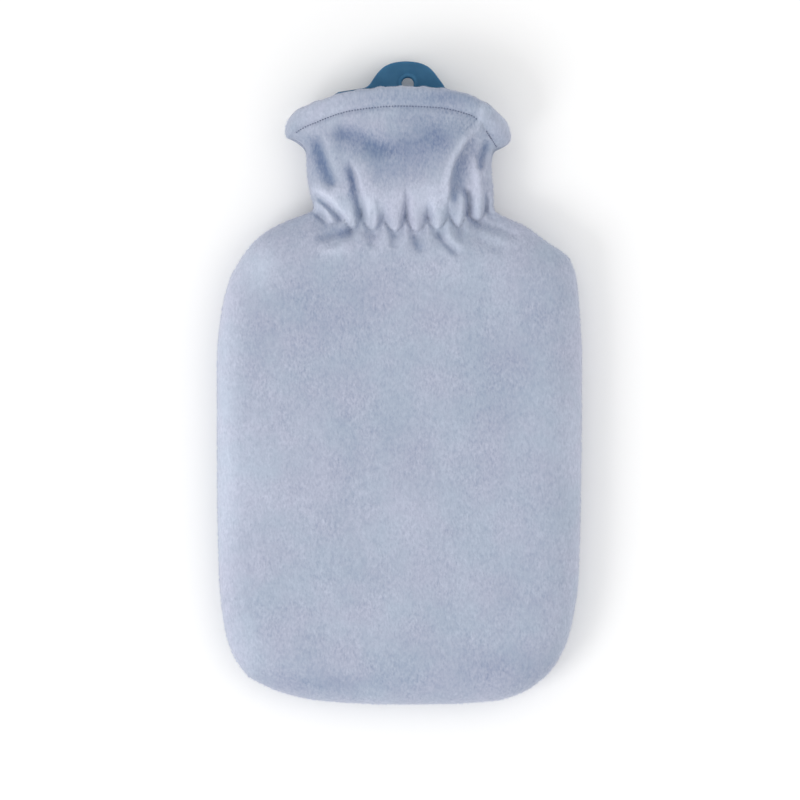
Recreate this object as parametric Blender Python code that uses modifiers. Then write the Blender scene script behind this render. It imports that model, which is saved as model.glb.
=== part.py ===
"""A velour hot water bottle cover with a gathered neck, lying on its back, and the plain bottle in it.

The neck points along +Y and the front faces +Z. The origin is the bottom centre of the whole.
Tables are in millimetres, and the meshes are made in metres.
"""

import math

import bmesh
import bpy
import numpy as np

MM = 0.001

# ---------------------------------------------------------------- driving dimensions (mm)
GAP = 0.5  # between panels that meet, which leaves 0.3 where the seam slopes
LIP = 1.0  # upright strip of cloth beside the side and bottom seam
CLOTH = 2.2  # thickness of the velour
HEM_CLOTH = 4.0  # thickness of the turned-in hem
HEM_DEPTH = 11.0  # from the mouth edge to the stitch line
HEM_BLEND = 3.0  # the hem thins out to single cloth over this
MOUTH = 142.0  # height of the mouth's corners, where the side seams end
BOW_START = 100.0  # above this the collar is stretched up to its bowed mouth edge
COLLAR_START = 100.0  # above this the lines of the cloth turn to run straight across
COLLAR_LEVEL = 16.0
RUBBER = 2.4  # wall of the bottle
CROWN = 2.0  # how much the front swells towards its middle
CROWN_SPREAD = 85.0

# Outline of the two panels, seen face on: height, left edge, right edge.
EDGE_ROWS = (
    (142.0, -61.2, 59.4),
    (139.0, -62.7, 61.0),
    (136.5, -63.2, 61.6),
    (134.0, -63.2, 61.4),
    (132.0, -62.0, 60.8),
    (130.0, -59.6, 59.4),
    (128.0, -57.3, 57.8),
    (126.0, -55.0, 55.6),
    (124.0, -52.6, 52.8),
    (121.0, -51.5, 51.3),
    (116.0, -51.3, 50.8),
    (106.0, -49.8, 51.8),
    (97.5, -47.4, 52.0),
    (95.0, -47.8, 52.6),
    (92.4, -54.4, 56.8),
    (86.0, -69.5, 70.5),
    (79.0, -79.5, 80.0),
    (68.0, -88.0, 94.5),
    (57.0, -94.0, 98.0),
    (40.0, -98.3, 99.6),
    (12.0, -101.0, 101.0),
    (-60.0, -100.8, 100.4),
    (-110.0, -99.7, 98.9),
    (-132.0, -97.4, 95.7),
    (-143.0, -95.0, 92.8),
    (-154.0, -90.5, 87.8),
    (-163.0, -84.0, 81.0),
)
LEFT, RIGHT = 1, 2

# Bottom edge: place across, height.
BOTTOM_ROWS = (
    (-84.0, -163.0),
    (-71.0, -169.6),
    (-58.0, -173.8),
    (-43.0, -176.4),
    (-5.0, -178.4),
    (25.0, -178.2),
    (54.0, -176.2),
    (69.0, -171.4),
    (81.0, -163.0),
)

# Mouth edge: place across, height on the front, height on the back.
MOUTH_ROWS = (
    (-62.0, 146.0, 146.0),
    (-56.0, 151.5, 149.5),
    (-45.0, 156.0, 153.0),
    (-25.0, 161.8, 157.5),
    (0.0, 164.0, 160.0),
    (20.0, 163.3, 159.5),
    (41.0, 158.6, 155.5),
    (52.0, 152.0, 149.5),
    (61.5, 142.5, 142.5),
)
FRONT, BACK = 1, 2

# Thickness: height, seam, front face, back face, reach of the rounded edge.
DEPTH_ROWS = (
    (-180.0, 16.0, 36.0, 0.0, 26.0),
    (40.0, 16.0, 36.0, 0.0, 26.0),
    (62.0, 16.6, 36.4, 0.0, 30.0),
    (80.0, 18.0, 38.2, 2.2, 44.0),
    (90.0, 18.6, 39.2, 3.4, 50.0),
    (104.0, 19.6, 41.5, 3.6, 50.0),
    (122.0, 20.6, 43.5, 2.4, 51.0),
    (142.0, 21.6, 43.2, 1.4, 60.0),
)
SEAM, FACE, UNDERSIDE, REACH = 1, 2, 3, 4
BACK_REACH = 0.7  # the back's rounded edge reaches less far in than the front's
BACK_REST_END = 62.0  # the back lies flat below this
BACK_RISE = 14.0

# Gathers along the neck, one row for each tuck of the front: its two sides and the height of its tip.
FRONT_TUCKS = (
    (-48.0, -31.0, 87.6),
    (-31.0, -21.0, 84.9),
    (-21.0, -8.2, 83.4),
    (-8.2, 3.6, 84.0),
    (3.6, 15.9, 83.4),
    (15.9, 27.1, 84.4),
    (27.1, 36.5, 85.8),
    (36.5, 46.7, 89.8),
    (46.7, 58.0, 92.5),
)
BACK_TUCKS = tuple((left, left + 12.5, 87.0) for left in np.arange(-50.0, 50.0, 12.5))
TUCK_RISE = 5.5  # neighbouring tucks meet this much above their tips
TUCK_SWELL = 1.3  # how far a tuck of the usual width stands proud of the notch beside it
TUCK_WIDTH = 12.0
TUCK_FADE = 15.0  # the tucks die out this far up the collar
GATHER_DIP = 3.8  # the drawn-in line under the tucks
DIP_ABOVE = 3.6
DIP_BELOW = 5.0
BACK_SHARE = 0.55  # the back is gathered less deeply than the front
PUCKER = 1.0  # small puckers on the body under the line
PUCKER_FADE = 9.0
SEAM_CALM = 7.0  # tucks and folds are flat this near the side seams

# Main folds of the front: start, middle and end of each, then its width and height (a trough is negative).
FRONT_FOLDS = (
    ("left trough", (-47.0, 138.0), (-42.0, 124.0), (-36.0, 110.0), 4.5, -3.4),
    ("left ridge", (-39.0, 141.0), (-35.0, 126.0), (-31.0, 108.0), 4.0, 1.6),
    ("slanting trough", (-34.0, 140.0), (-24.0, 132.0), (-7.0, 128.0), 5.0, -1.8),
    ("tuck edge", (-45.0, 110.0), (-33.0, 98.0), (-26.0, 87.0), 3.5, 1.4),
    ("short trough", (-25.5, 112.0), (-23.5, 102.0), (-22.0, 91.0), 3.2, -1.6),
    ("right front fold", (44.0, 143.0), (32.0, 126.0), (25.0, 102.0), 6.0, 2.4),
    ("right trough", (46.0, 133.0), (38.0, 116.0), (36.0, 100.0), 5.0, -3.6),
    ("right ridge", (52.0, 126.0), (48.0, 112.0), (47.0, 101.0), 3.6, 1.6),
    ("shoulder crease right", (38.0, 91.0), (51.0, 86.0), (68.0, 80.0), 3.4, -1.8),
    ("shoulder crease left", (-38.0, 85.0), (-46.0, 82.0), (-54.0, 78.0), 3.6, -2.0),
    ("pucker ridge left", (-25.0, 80.0), (-35.0, 75.0), (-44.0, 71.5), 3.4, 1.0),
    ("pucker crease right", (22.0, 83.0), (27.0, 78.0), (33.0, 70.0), 3.0, -1.2),
)
BACK_FOLDS = (
    ("back trough left", (-30.0, 140.0), (-26.0, 122.0), (-25.0, 96.0), 6.0, -1.6),
    ("back trough right", (30.0, 138.0), (24.0, 120.0), (25.0, 96.0), 6.0, -1.6),
)
FOLD_STEPS = 12
FOLD_ENDS = 0.15  # share of its half wave that a fold starts and ends with

# The bottle, lying centred on BOTTLE_X: height, half width, half thickness, middle, squareness, slant.
BOTTLE_X = 3.7
BODY_X = 0.0
BOTTLE_ROWS = (
    (-171.5, 54.0, 6.5, 17.0, 2.6, 0.0),
    (-169.0, 63.5, 9.3, 17.2, 3.0, 0.0),
    (-163.0, 72.0, 12.0, 17.8, 3.2, 0.0),
    (-152.0, 82.0, 14.2, 18.1, 3.6, 0.0),
    (-135.0, 88.5, 15.2, 18.3, 4.0, 0.0),
    (-100.0, 92.0, 15.4, 18.4, 4.2, 0.0),
    (0.0, 93.5, 15.4, 18.4, 4.2, 0.0),
    (38.0, 90.5, 15.2, 18.4, 4.0, 0.0),
    (54.0, 83.5, 14.6, 18.4, 3.6, 0.0),
    (66.0, 70.0, 13.8, 18.6, 3.2, 0.0),
    (74.0, 53.0, 12.8, 18.9, 2.8, 0.0),
    (80.0, 36.0, 11.6, 19.2, 2.4, 0.0),
    (85.0, 24.0, 10.8, 19.6, 2.1, 0.0),
    (91.0, 18.0, 10.6, 20.0, 2.0, 0.0),
    (100.0, 17.5, 10.8, 20.4, 2.0, 0.0),
    (110.0, 21.0, 11.4, 20.8, 2.1, 0.0),
    (123.0, 29.0, 12.2, 21.2, 2.4, 1.0),
    (138.0, 36.5, 12.8, 21.8, 2.6, 2.5),
    (154.0, 41.5, 13.4, 22.2, 2.8, 4.0),
)
BODY_TOP = 54.0  # below this the bottle is centred in the cover's body
THROAT = 91.0  # above this it is centred under its tab
BOTTLE_SIDES = 36

# Hanging tab: offset from its middle, height of its top edge.
TAB_ROWS = (
    (-40.0, 159.8),
    (-36.8, 161.5),
    (-29.5, 162.9),
    (-23.5, 163.5),
    (-21.0, 164.8),
    (-18.0, 169.0),
    (-15.5, 172.3),
    (-11.7, 175.7),
    (-6.0, 177.8),
    (0.0, 178.4),
    (6.0, 177.8),
    (11.7, 175.7),
    (15.5, 172.3),
    (18.0, 169.0),
    (20.4, 165.7),
    (22.5, 162.6),
    (26.0, 160.2),
    (30.0, 159.4),
)
TAB_THICK = 3.0
TAB_FOOT = 158.4
TAB_COLUMNS = 34
TAB_CROWDING = 0.25  # how much closer its columns stand near the middle
HOLE = (4.6, 165.9)  # where the tab hangs
HOLE_BORE = 6.6
RING_WIDTH = 11.6
RING_PROUD = 0.8
TOOL_SIDES = 28
TOOL_DEPTH = 20.0
SHARP_DEGREES = 40.0

# How finely the cloth is faceted: lines across, lines up each side, rings from the edge inwards.
FRONT_FACETS = (22, 37)
BACK_FACETS = (16, 24)
RING_DEPTHS = (18.0, 12.0, 7.2, 3.6, 1.0, 0.0)
BODY_SPACING = 0.3  # lines on the plain body are this much as close as on the neck
NECK_FINE, CORNER_FINE, FINE_RUN = 45.0, -105.0, 25.0
CORNER_CLOSER = 0.7  # how close the lines stand at the corners, as a share of the neck
BOW_FADE = 60.0  # the bottom's curve dies out this far up the lines
OUTLINE_STEP = 0.5  # spacing of the points that the edge distance is measured to
NORMAL_EASING = 260  # passes that fan the inward lines out round the tight corners


# ---------------------------------------------------------------- curves through the tables
def along(rows, column, at):
    """One column of a table at some places, on a smooth curve that never overshoots its rows."""
    ordered = sorted(rows, key=lambda row: row[0])
    places = np.array([row[0] for row in ordered])
    values = np.array([row[column] for row in ordered])
    steps = np.diff(places)
    slopes = np.diff(values) / steps
    turns = np.zeros(len(places))
    same_way = slopes[:-1] * slopes[1:] > 0
    before, after = 2 * steps[1:] + steps[:-1], steps[1:] + 2 * steps[:-1]
    with np.errstate(divide="ignore", invalid="ignore"):
        blended = (before + after) / (before / slopes[:-1] + after / slopes[1:])
    turns[1:-1] = np.where(same_way, blended, 0.0)
    turns[0], turns[-1] = slopes[0], slopes[-1]
    at = np.clip(np.asarray(at, float), places[0], places[-1])
    left = np.clip(np.searchsorted(places, at, side="right") - 1, 0, len(steps) - 1)
    step = steps[left]
    t = (at - places[left]) / step
    return (
        (1 + 2 * t) * (1 - t) ** 2 * values[left]
        + t * (1 - t) ** 2 * step * turns[left]
        + t * t * (3 - 2 * t) * values[left + 1]
        + t * t * (t - 1) * step * turns[left + 1]
    )


def ease(t):
    """0 below 0 and 1 above 1, with a soft start and end."""
    t = np.clip(t, 0.0, 1.0)
    return t * t * (3 - 2 * t)


def side_line(column):
    """One side of the outline as dense points, from the mouth's corner down to the bottom's."""
    heights = np.arange(MOUTH, EDGE_ROWS[-1][0] - 0.01, -OUTLINE_STEP)
    return np.column_stack([along(EDGE_ROWS, column, heights), heights])


def bottom_line():
    """The bottom edge as dense points, from left to right."""
    across = np.arange(BOTTOM_ROWS[0][0], BOTTOM_ROWS[-1][0] + 0.01, OUTLINE_STEP)
    return np.column_stack([across, along(BOTTOM_ROWS, 1, across)])


def outline_line():
    """The whole open outline: down the left side, along the bottom and up the right side."""
    return np.vstack([side_line(LEFT), bottom_line()[1:], side_line(RIGHT)[::-1][1:]])


def inward_normals(line):
    """Unit vectors that point into the panel, softened so that corners fan out evenly."""
    ahead = np.roll(line, -6, axis=0) - np.roll(line, 6, axis=0)
    for end in range(6):
        ahead[end] = line[end + 1] - line[end]
        ahead[-1 - end] = line[-1 - end] - line[-2 - end]
    normals = np.column_stack([-ahead[:, 1], ahead[:, 0]])
    normals /= np.linalg.norm(normals, axis=1)[:, None]
    normals[0], normals[-1] = (1.0, 0.0), (-1.0, 0.0)
    for _ in range(NORMAL_EASING):
        normals[1:-1] = (normals[:-2] + 2 * normals[1:-1] + normals[2:]) / 4
    level = ease((line[:, 1] - COLLAR_START) / COLLAR_LEVEL)[:, None]
    sideways = np.column_stack([-np.sign(line[:, 0]), np.zeros(len(line))])
    normals = (1 - level) * normals + level * sideways
    return normals / np.linalg.norm(normals, axis=1)[:, None]


def edge_distance(points, line):
    """Distance from each point to the outline."""
    starts, ends = line[:-1], line[1:]
    runs = ends - starts
    nearest = np.empty(len(points))
    for i, point in enumerate(points):
        share = ((point - starts) * runs).sum(1) / (runs * runs).sum(1)
        foot = starts + np.clip(share, 0, 1)[:, None] * runs
        nearest[i] = np.sqrt(((point - foot) ** 2).sum(1).min())
    return nearest


def evenly(line, normals, first, last, count):
    """Picks points of the outline: even half way in, and closer together at the neck and corners."""
    middle = line[first : last + 1] + normals[first : last + 1] * RING_DEPTHS[0] / 2
    length = np.linalg.norm(np.diff(middle, axis=0), axis=1)
    height = (middle[1:, 1] + middle[:-1, 1]) / 2
    closer = ease((height - NECK_FINE) / FINE_RUN) + CORNER_CLOSER * ease(
        (CORNER_FINE - height) / FINE_RUN
    )
    weight = length * (BODY_SPACING + (1 - BODY_SPACING) * closer)
    travelled = np.concatenate([[0.0], np.cumsum(weight)])
    wanted = np.linspace(0, travelled[-1], count + 1)
    picked = np.interp(wanted, travelled, np.arange(first, last + 1))
    return np.round(picked).astype(int)


# ---------------------------------------------------------------- shape of the cloth
def fold_field(x, y, folds):
    """Height that the main folds add."""
    rise = np.zeros(len(x))
    for _, start, middle, end, width, height in folds:
        for t in np.linspace(0, 1, FOLD_STEPS):
            path = (1 - t) ** 2 * np.array(start) + 2 * t * (1 - t) * np.array(middle)
            path = path + t * t * np.array(end)
            near = np.exp(-((x - path[0]) ** 2 + (y - path[1]) ** 2) / width**2)
            swell = height * math.sin(math.pi * (FOLD_ENDS + (1 - 2 * FOLD_ENDS) * t)) * near
            rise = np.where(np.abs(swell) > np.abs(rise), swell, rise)
    return rise


def gather_field(x, y, tucks):
    """Height that the gathers add: tucks above the drawn-in line, and puckers below it."""
    line = np.full(len(x), tucks[0][2] + TUCK_RISE)
    line = np.where(x > tucks[-1][1], tucks[-1][2] + TUCK_RISE, line)
    crest = np.full(len(x), -1.0)
    for number, (left, right, tip) in enumerate(tucks):
        inside = (x >= left) & (x < right)
        t = (2 * x - left - right) / (right - left)
        before = tucks[max(number - 1, 0)][2]
        after = tucks[min(number + 1, len(tucks) - 1)][2]
        notch = (tip + np.where(t < 0, before, after)) / 2 + TUCK_RISE
        line = np.where(inside, tip + (notch - tip) * t * t, line)
        broad = ((right - left) / TUCK_WIDTH) ** 2
        crest = np.where(inside, broad * (2 - 2 * np.abs(t) ** 3) - 1, crest)
    above = y - line
    dip = np.where(above > 0, DIP_ABOVE, DIP_BELOW)
    rise = -GATHER_DIP * np.exp(-((above / dip) ** 2))
    rise += np.where(above > 0, TUCK_SWELL * crest * np.exp(-above / TUCK_FADE), 0.0)
    rise += np.where(above <= 0, PUCKER * crest * np.exp(above / PUCKER_FADE), 0.0)
    return rise


def cloth_heights(x, y, flat_y, inset, side):
    """Height of the outer face of a panel, from its place, its place before bowing, and its edge distance."""
    seam = along(DEPTH_ROWS, SEAM, flat_y)
    reach = along(DEPTH_ROWS, REACH, flat_y)
    calm = ease(inset / SEAM_CALM)
    if side == FRONT:
        t = 1 - np.clip(inset / reach, 0, 1)
        start = seam + GAP / 2 + LIP
        height = start + (along(DEPTH_ROWS, FACE, flat_y) - start) * np.sqrt(1 - t * t)
        height += CROWN * ease(inset / CROWN_SPREAD)
        return height + calm * (gather_field(x, y, FRONT_TUCKS) + fold_field(x, y, FRONT_FOLDS))
    t = 1 - np.clip(inset / (reach * BACK_REACH), 0, 1)
    start = seam - GAP / 2 - LIP
    height = start + (along(DEPTH_ROWS, UNDERSIDE, flat_y) - start) * np.sqrt(1 - t * t)
    lift = -BACK_SHARE * gather_field(x, y, BACK_TUCKS) - fold_field(x, y, BACK_FOLDS)
    away = ease((flat_y - BACK_REST_END) / BACK_RISE)
    return np.maximum(height + calm * away * lift, 0.0)


def laid_out(points, inset, level, side):
    """Turns points of the flat outline into points of the lying panel."""
    x, flat_y = points[:, 0], points[:, 1]
    bow = along(MOUTH_ROWS, side, x) - MOUTH
    y = flat_y + bow * ease((flat_y - BOW_START) / (MOUTH - BOW_START))
    z = cloth_heights(x, y, flat_y, inset, side)
    seam = along(DEPTH_ROWS, SEAM, flat_y)
    edge = seam + GAP / 2 if side == FRONT else seam - GAP / 2
    z = np.where(level == 0, edge, z)
    below_mouth = along(MOUTH_ROWS, side, x) - y
    hem = ease((HEM_DEPTH + HEM_BLEND / 2 - below_mouth) / HEM_BLEND)
    return np.column_stack([x, y, z]), hem


def panel_mesh(name, facets, side):
    """A panel as an open surface: a grid in the middle, and rings drawn out from it to the edge."""
    columns, rows = facets
    line = outline_line()
    normals = inward_normals(line)
    corner = len(side_line(LEFT)) - 1
    far_corner = corner + len(bottom_line()) - 1
    down = evenly(line, normals, 0, corner, rows)
    along_bottom = evenly(line, normals, corner, far_corner, columns)
    up = evenly(line, normals, far_corner, len(line) - 1, rows)
    loop = np.concatenate([down, along_bottom[1:], up[1:]])
    inner = line + normals * RING_DEPTHS[0]

    bm = bmesh.new()
    bmesh.ops.create_grid(bm, x_segments=columns, y_segments=rows, size=1.0)
    flat = {}
    grid = {}
    straight = np.linspace(0, 1, columns + 1)
    bottom_bow = inner[along_bottom] - (
        (1 - straight)[:, None] * inner[corner] + straight[:, None] * inner[far_corner]
    )
    for vert in bm.verts:
        column = round((vert.co.x + 1) / 2 * columns)
        row = round((1 - vert.co.y) / 2 * rows)
        grid[column, row] = vert
        left_end, right_end = inner[down[row]], inner[up[rows - row]]
        share = straight[column]
        place = (1 - share) * left_end + share * right_end
        fade = ease(1 - (left_end[1] - inner[corner][1]) / BOW_FADE)
        place = place + fade * bottom_bow[column]
        flat[vert] = (place, None, 2)
    ring = [grid[0, row] for row in range(rows + 1)]
    ring += [grid[column, rows] for column in range(1, columns + 1)]
    ring += [grid[columns, row] for row in range(rows - 1, -1, -1)]
    for vert, anchor in zip(ring, loop):
        flat[vert] = (inner[anchor], RING_DEPTHS[0], 2)

    for depth, level in [(d, 2) for d in RING_DEPTHS[1:-1]] + [(0.0, 1), (0.0, 0)]:
        edges = [bm.edges.get(pair) for pair in zip(ring, ring[1:])]
        made = bmesh.ops.extrude_edge_only(bm, edges=edges)["geom"]
        fresh = {g for g in made if isinstance(g, bmesh.types.BMVert)}
        drawn = []
        for vert in ring:
            drawn += [e.other_vert(vert) for e in vert.link_edges if e.other_vert(vert) in fresh]
        ring = drawn
        for vert, anchor in zip(ring, loop):
            flat[vert] = (line[anchor] + normals[anchor] * depth, depth, level)

    verts = list(bm.verts)
    points = np.array([flat[vert][0] for vert in verts])
    level = np.array([flat[vert][2] for vert in verts])
    inset = edge_distance(points, line)
    inset = np.where(level < 2, 0.0, inset)
    places, hem = laid_out(points, inset, level, side)
    for vert, place in zip(verts, places * MM):
        vert.co = place
    bmesh.ops.recalc_face_normals(bm, faces=bm.faces)
    up_facing = sum(face.normal.z * face.calc_area() for face in bm.faces) > 0
    if up_facing != (side == FRONT):
        bmesh.ops.reverse_faces(bm, faces=bm.faces)
    mesh = bpy.data.meshes.new(name)
    bm.to_mesh(mesh)
    bm.free()
    return mesh, hem


# ---------------------------------------------------------------- pieces
def material(name, colour, roughness):
    made = bpy.data.materials.new(name)
    made.use_nodes = True
    shader = made.node_tree.nodes["Principled BSDF"]
    shader.inputs["Base Color"].default_value = (*colour, 1.0)
    shader.inputs["Roughness"].default_value = roughness
    return made


def new_object(name, mesh, finish, collection):
    made = bpy.data.objects.new(name, mesh)
    made.data.materials.append(finish)
    collection.objects.link(made)
    return made


def make_panel(name, facets, side, finish, collection):
    """A sheet of velour, thicker along its turned-in hem."""
    mesh, hem = panel_mesh(name, facets, side)
    panel = new_object(name, mesh, finish, collection)
    group = panel.vertex_groups.new(name="hem")
    for index, weight in enumerate(hem):
        group.add([index], float(weight), "REPLACE")
    solid = panel.modifiers.new("cloth thickness", "SOLIDIFY")
    solid.thickness = HEM_CLOTH * MM
    solid.offset = -1.0
    solid.vertex_group = "hem"
    solid.thickness_vertex_group = CLOTH / HEM_CLOTH
    mesh.shade_smooth()
    return panel


def funnel_point(row, angle):
    """A point of one of the bottle's sections."""
    height, half_width, half_thick, middle, squareness, slant = row
    power = 2 / squareness
    across = math.copysign(abs(math.cos(angle)) ** power, math.cos(angle))
    up = math.copysign(abs(math.sin(angle)) ** power, math.sin(angle))
    offset = BODY_X + (BOTTLE_X - BODY_X) * float(ease((height - BODY_TOP) / (THROAT - BODY_TOP)))
    return offset + half_width * across, height - slant * up, middle + half_thick * up


def make_bottle(finish, collection):
    """The rubber bottle: a blunt-ended body, a throat and an open funnel in one hollow moulding."""
    bm = bmesh.new()
    made = bmesh.ops.create_circle(bm, cap_ends=True, segments=BOTTLE_SIDES, radius=1.0)
    ring = list(made["verts"])
    angles = [math.atan2(vert.co.y, vert.co.x) for vert in ring]
    for number, row in enumerate(BOTTLE_ROWS):
        if number:
            edges = [bm.edges.get(pair) for pair in zip(ring, ring[1:] + ring[:1])]
            drawn = bmesh.ops.extrude_edge_only(bm, edges=edges)["geom"]
            fresh = {g for g in drawn if isinstance(g, bmesh.types.BMVert)}
            ring = [
                next(e.other_vert(v) for e in v.link_edges if e.other_vert(v) in fresh)
                for v in ring
            ]
        for vert, angle in zip(ring, angles):
            vert.co = [value * MM for value in funnel_point(row, angle)]
    bmesh.ops.recalc_face_normals(bm, faces=bm.faces)
    mesh = bpy.data.meshes.new("bottle")
    bm.to_mesh(mesh)
    bm.free()
    bottle = new_object("bottle", mesh, finish, collection)
    wall = bottle.modifiers.new("rubber wall", "SOLIDIFY")
    wall.thickness = RUBBER * MM
    wall.offset = -1.0
    mesh.shade_smooth()
    return bottle


def tab_middle(offset):
    """Height of the tab's middle plane, which follows the back wall of the funnel's mouth."""
    _, half_width, half_thick, middle, squareness, _ = BOTTLE_ROWS[-1]
    share = np.clip(np.abs(offset) / half_width, 0, 1) ** squareness
    return middle - half_thick * (1 - share) ** (1 / squareness) + RUBBER / 2


def make_tab(finish, collection, cutters):
    """The hanging tab: a curved plate with a raised ring round its hole."""
    bm = bmesh.new()
    bmesh.ops.create_grid(bm, x_segments=TAB_COLUMNS, y_segments=4, size=1.0)
    left, right = -TAB_ROWS[0][0], TAB_ROWS[-1][0]
    for vert in bm.verts:
        share = vert.co.x
        offset = (right if share > 0 else left) * (
            (1 - TAB_CROWDING) * share + TAB_CROWDING * share**3
        )
        foot_to_top = (vert.co.y + 1) / 2
        top = along(TAB_ROWS, 1, offset)
        y = TAB_FOOT + (top - TAB_FOOT) * foot_to_top
        z = tab_middle(offset) - TAB_THICK / 2
        vert.co = ((BOTTLE_X + offset) * MM, float(y) * MM, float(z) * MM)
    drawn = bmesh.ops.extrude_face_region(bm, geom=list(bm.faces))["geom"]
    for vert in [g for g in drawn if isinstance(g, bmesh.types.BMVert)]:
        vert.co.z += TAB_THICK * MM
    bmesh.ops.recalc_face_normals(bm, faces=bm.faces)
    mesh = bpy.data.meshes.new("hanging_tab")
    bm.to_mesh(mesh)
    bm.free()
    tab = new_object("hanging_tab", mesh, finish, collection)
    mesh.shade_smooth()
    mesh.set_sharp_from_angle(angle=math.radians(SHARP_DEGREES))

    middle = float(tab_middle(HOLE[0] - BOTTLE_X))
    ring = cutter("tab ring", RING_WIDTH, TAB_THICK + 2 * RING_PROUD, middle, cutters)
    bore = cutter("tab bore", HOLE_BORE, TOOL_DEPTH, middle, cutters)
    for tool, operation in ((ring, "UNION"), (bore, "DIFFERENCE")):
        cut = tab.modifiers.new(tool.name, "BOOLEAN")
        cut.object = tool
        cut.operation = operation
        cut.solver = "EXACT"
    return tab


def cutter(name, width, height, middle, cutters):
    """A round tool at the tab's hole, kept out of the model."""
    bpy.ops.mesh.primitive_cylinder_add(
        vertices=TOOL_SIDES,
        radius=width / 2 * MM,
        depth=height * MM,
        location=(HOLE[0] * MM, HOLE[1] * MM, middle * MM),
    )
    tool = bpy.context.object
    tool.name = name
    tool.hide_render = True
    tool.display_type = "WIRE"
    for holder in list(tool.users_collection):
        holder.objects.unlink(tool)
    cutters.objects.link(tool)
    return tool


def main():
    for old in list(bpy.data.objects):
        bpy.data.objects.remove(old, do_unlink=True)
    model = bpy.data.collections.new("hot_water_bottle_cover")
    cutters = bpy.data.collections.new("cutters")
    bpy.context.scene.collection.children.link(model)
    bpy.context.scene.collection.children.link(cutters)
    velour = material("velour", (0.43, 0.47, 0.63), 0.95)
    rubber = material("rubber", (0.04, 0.13, 0.25), 0.5)
    make_panel("front_panel", FRONT_FACETS, FRONT, velour, model)
    make_panel("back_panel", BACK_FACETS, BACK, velour, model)
    make_bottle(rubber, model)
    make_tab(rubber, model, cutters)


main()
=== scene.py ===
"""Looks for the velour hot water bottle cover and the rubber bottle that shows at its mouth.

The cover lies on its back with its neck along +Y and its front up. Tables are in millimetres.
"""

import math

import bmesh
import bpy
import numpy as np
from mathutils import Matrix, Vector
from mathutils.bvhtree import BVHTree


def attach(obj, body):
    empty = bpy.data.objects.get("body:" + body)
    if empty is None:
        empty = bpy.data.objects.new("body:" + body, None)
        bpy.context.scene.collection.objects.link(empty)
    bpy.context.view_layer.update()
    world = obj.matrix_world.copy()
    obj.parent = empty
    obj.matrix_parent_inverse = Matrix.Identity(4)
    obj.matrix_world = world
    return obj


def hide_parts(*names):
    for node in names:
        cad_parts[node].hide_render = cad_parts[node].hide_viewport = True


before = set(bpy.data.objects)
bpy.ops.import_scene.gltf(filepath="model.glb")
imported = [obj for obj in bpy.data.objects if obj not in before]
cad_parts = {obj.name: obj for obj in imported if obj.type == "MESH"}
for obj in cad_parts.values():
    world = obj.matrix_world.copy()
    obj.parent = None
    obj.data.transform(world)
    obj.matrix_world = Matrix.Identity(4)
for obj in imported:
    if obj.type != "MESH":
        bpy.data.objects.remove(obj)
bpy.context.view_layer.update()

MM = 0.001

# ---------------------------------------------------------------- the cut of the cover (mm)
GAP = 0.5  # between the two panels at their seam
LIP = 1.0  # each panel stands this far off the seam before its face rounds over
CLOTH = 2.2
HEM_CLOTH = 4.0  # the cloth turned in double at the mouth
MOUTH = 142.0  # height of the mouth's two corners
BOW_START = 100.0  # from here up the cloth follows the bow of the mouth
COLLAR_START = 100.0  # from here up the rings of the edge run straight in from the sides
COLLAR_LEVEL = 16.0
CROWN = 2.0  # the filled body swells this much more in its middle
CROWN_SPREAD = 85.0

# Outline of the two panels, seen face on: height, left edge, right edge.
EDGE_ROWS = (
    (142.0, -61.2, 59.4),
    (139.0, -62.7, 61.0),
    (136.5, -63.2, 61.6),
    (134.0, -63.2, 61.4),
    (132.0, -62.0, 60.8),
    (130.0, -59.6, 59.4),
    (128.0, -57.3, 57.8),
    (126.0, -55.0, 55.6),
    (124.0, -52.6, 52.8),
    (121.0, -51.5, 51.3),
    (116.0, -51.3, 50.8),
    (106.0, -49.8, 51.8),
    (97.5, -47.4, 52.0),
    (95.0, -47.8, 52.6),
    (92.4, -54.4, 56.8),
    (86.0, -69.5, 70.5),
    (79.0, -79.5, 80.0),
    (68.0, -88.0, 94.5),
    (57.0, -94.0, 98.0),
    (40.0, -98.3, 99.6),
    (12.0, -101.0, 101.0),
    (-60.0, -100.8, 100.4),
    (-110.0, -99.7, 98.9),
    (-132.0, -97.4, 95.7),
    (-143.0, -95.0, 92.8),
    (-154.0, -90.5, 87.8),
    (-163.0, -84.0, 81.0),
)
LEFT, RIGHT = 1, 2

# Bottom edge: place across, height.
BOTTOM_ROWS = (
    (-84.0, -163.0),
    (-71.0, -169.6),
    (-58.0, -173.8),
    (-43.0, -176.4),
    (-5.0, -178.4),
    (25.0, -178.2),
    (54.0, -176.2),
    (69.0, -171.4),
    (81.0, -163.0),
)

# Mouth edge: place across, height on the front, height on the back.
MOUTH_ROWS = (
    (-62.0, 146.0, 146.0),
    (-56.0, 151.5, 149.5),
    (-45.0, 156.0, 153.0),
    (-25.0, 161.8, 157.5),
    (0.0, 164.0, 160.0),
    (20.0, 163.3, 159.5),
    (41.0, 158.6, 155.5),
    (52.0, 152.0, 149.5),
    (61.5, 142.5, 142.5),
)
FRONT, BACK = 1, 2

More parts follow.
